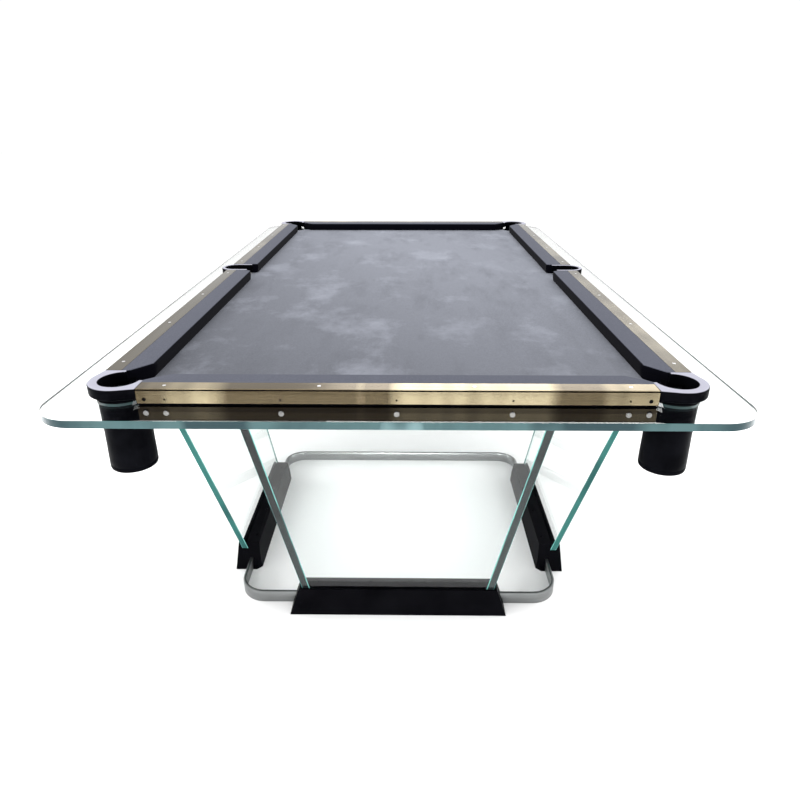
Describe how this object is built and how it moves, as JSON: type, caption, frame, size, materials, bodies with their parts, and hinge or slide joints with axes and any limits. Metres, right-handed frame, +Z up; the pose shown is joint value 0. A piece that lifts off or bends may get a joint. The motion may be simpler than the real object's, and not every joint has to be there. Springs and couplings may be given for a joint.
{
  "type": "pool table",
  "caption": "Pool table with a clear glass top, grey cloth bed, brushed gold rails, black leather pockets and two leaning glass bases on floor rings.",
  "frame": {"origin": "on the floor under the middle of the table, at the bottom centre of the bounding box", "axes": "+Y along the table from the head end to the foot end, +X across it to the right, +Z up"},
  "size_m": [1.692, 2.93, 0.8116],
  "materials": {
    "clear_glass": "polished, green-blue at the edges",
    "bed_cloth": "napped worsted cloth",
    "cushion_cloth": "napped worsted cloth",
    "black_rail": "satin black",
    "brushed_gold": "brushed, champagne gold anodised",
    "black_leather": "smooth black hide with a soft sheen",
    "black_steel": "satin black powder coat",
    "black_shoe": "fine black powder coat",
    "brushed_steel": "brushed along the bar",
    "foot_steel": "turned and zinc plated",
    "clear_pad": "clear bonding pad",
    "screw_steel": "polished stainless"
  },
  "bodies": {
    "table": {"bed_cloth": "bed_cloth", "cup_bases": "black_leather", "cushion_foot": "cushion_cloth", "cushion_head": "cushion_cloth", "cushion_left_foot": "cushion_cloth", "cushion_left_head": "cushion_cloth", "cushion_right_foot": "cushion_cloth", "cushion_right_head": "cushion_cloth", "floor_ring_foot": "brushed_steel", "floor_ring_head": "brushed_steel", "frame_bolts": "screw_steel", "glass_panel_foot_end": "clear_glass", "glass_panel_foot_left": "clear_glass", "glass_panel_foot_right": "clear_glass", "glass_panel_head_end": "clear_glass", "glass_panel_head_left": "clear_glass", "glass_panel_head_right": "clear_glass", "glass_top": "clear_glass", "panel_pads": "clear_pad", "pocket_cup_foot_left": "black_leather", "pocket_cup_foot_right": "black_leather", "pocket_cup_head_left": "black_leather", "pocket_cup_head_right": "black_leather", "pocket_cup_side_left": "black_leather", "pocket_cup_side_right": "black_leather", "pocket_loop_foot_left": "black_leather", "pocket_loop_foot_right": "black_leather", "pocket_loop_head_left": "black_leather", "pocket_loop_head_right": "black_leather", "pocket_loop_side_left": "black_leather", "pocket_loop_side_right": "black_leather", "rail_bolts": "screw_steel", "rail_core_foot": "black_rail", "rail_core_head": "black_rail", "rail_core_left_foot": "black_rail", "rail_core_left_head": "black_rail", "rail_core_right_foot": "black_rail", "rail_core_right_head": "black_rail", "rail_screws": "screw_steel", "rail_trim_foot": "brushed_gold", "rail_trim_head": "brushed_gold", "rail_trim_left_foot": "brushed_gold", "rail_trim_left_head": "brushed_gold", "rail_trim_right_foot": "brushed_gold", "rail_trim_right_head": "brushed_gold", "shoe_foot_end": "black_shoe", "shoe_foot_left": "black_shoe", "shoe_foot_right": "black_shoe", "shoe_head_end": "black_shoe", "shoe_head_left": "black_shoe", "shoe_head_right": "black_shoe", "shoe_screws": "screw_steel", "under_frame": "black_steel"},
    "levelling_foot_foot_end": {"levelling_foot_foot_end": "foot_steel"},
    "levelling_foot_foot_left": {"levelling_foot_foot_left": "foot_steel"},
    "levelling_foot_foot_right": {"levelling_foot_foot_right": "foot_steel"},
    "levelling_foot_head_end": {"levelling_foot_head_end": "foot_steel"},
    "levelling_foot_head_left": {"levelling_foot_head_left": "foot_steel"},
    "levelling_foot_head_right": {"levelling_foot_head_right": "foot_steel"}
  },
  "joints": [
    {"name": "foot_travel_foot_end", "type": "slide", "parent": "table", "child": "levelling_foot_foot_end", "axis": [0, 0, -1], "range_m": [0, 0.012]},
    {"name": "foot_travel_foot_left", "type": "slide", "parent": "table", "child": "levelling_foot_foot_left", "axis": [0, 0, -1], "range_m": [0, 0.012]},
    {"name": "foot_travel_foot_right", "type": "slide", "parent": "table", "child": "levelling_foot_foot_right", "axis": [0, 0, -1], "range_m": [0, 0.012]},
    {"name": "foot_travel_head_end", "type": "slide", "parent": "table", "child": "levelling_foot_head_end", "axis": [0, 0, -1], "range_m": [0, 0.012]},
    {"name": "foot_travel_head_left", "type": "slide", "parent": "table", "child": "levelling_foot_head_left", "axis": [0, 0, -1], "range_m": [0, 0.012]},
    {"name": "foot_travel_head_right", "type": "slide", "parent": "table", "child": "levelling_foot_head_right", "axis": [0, 0, -1], "range_m": [0, 0.012]}
  ]
}
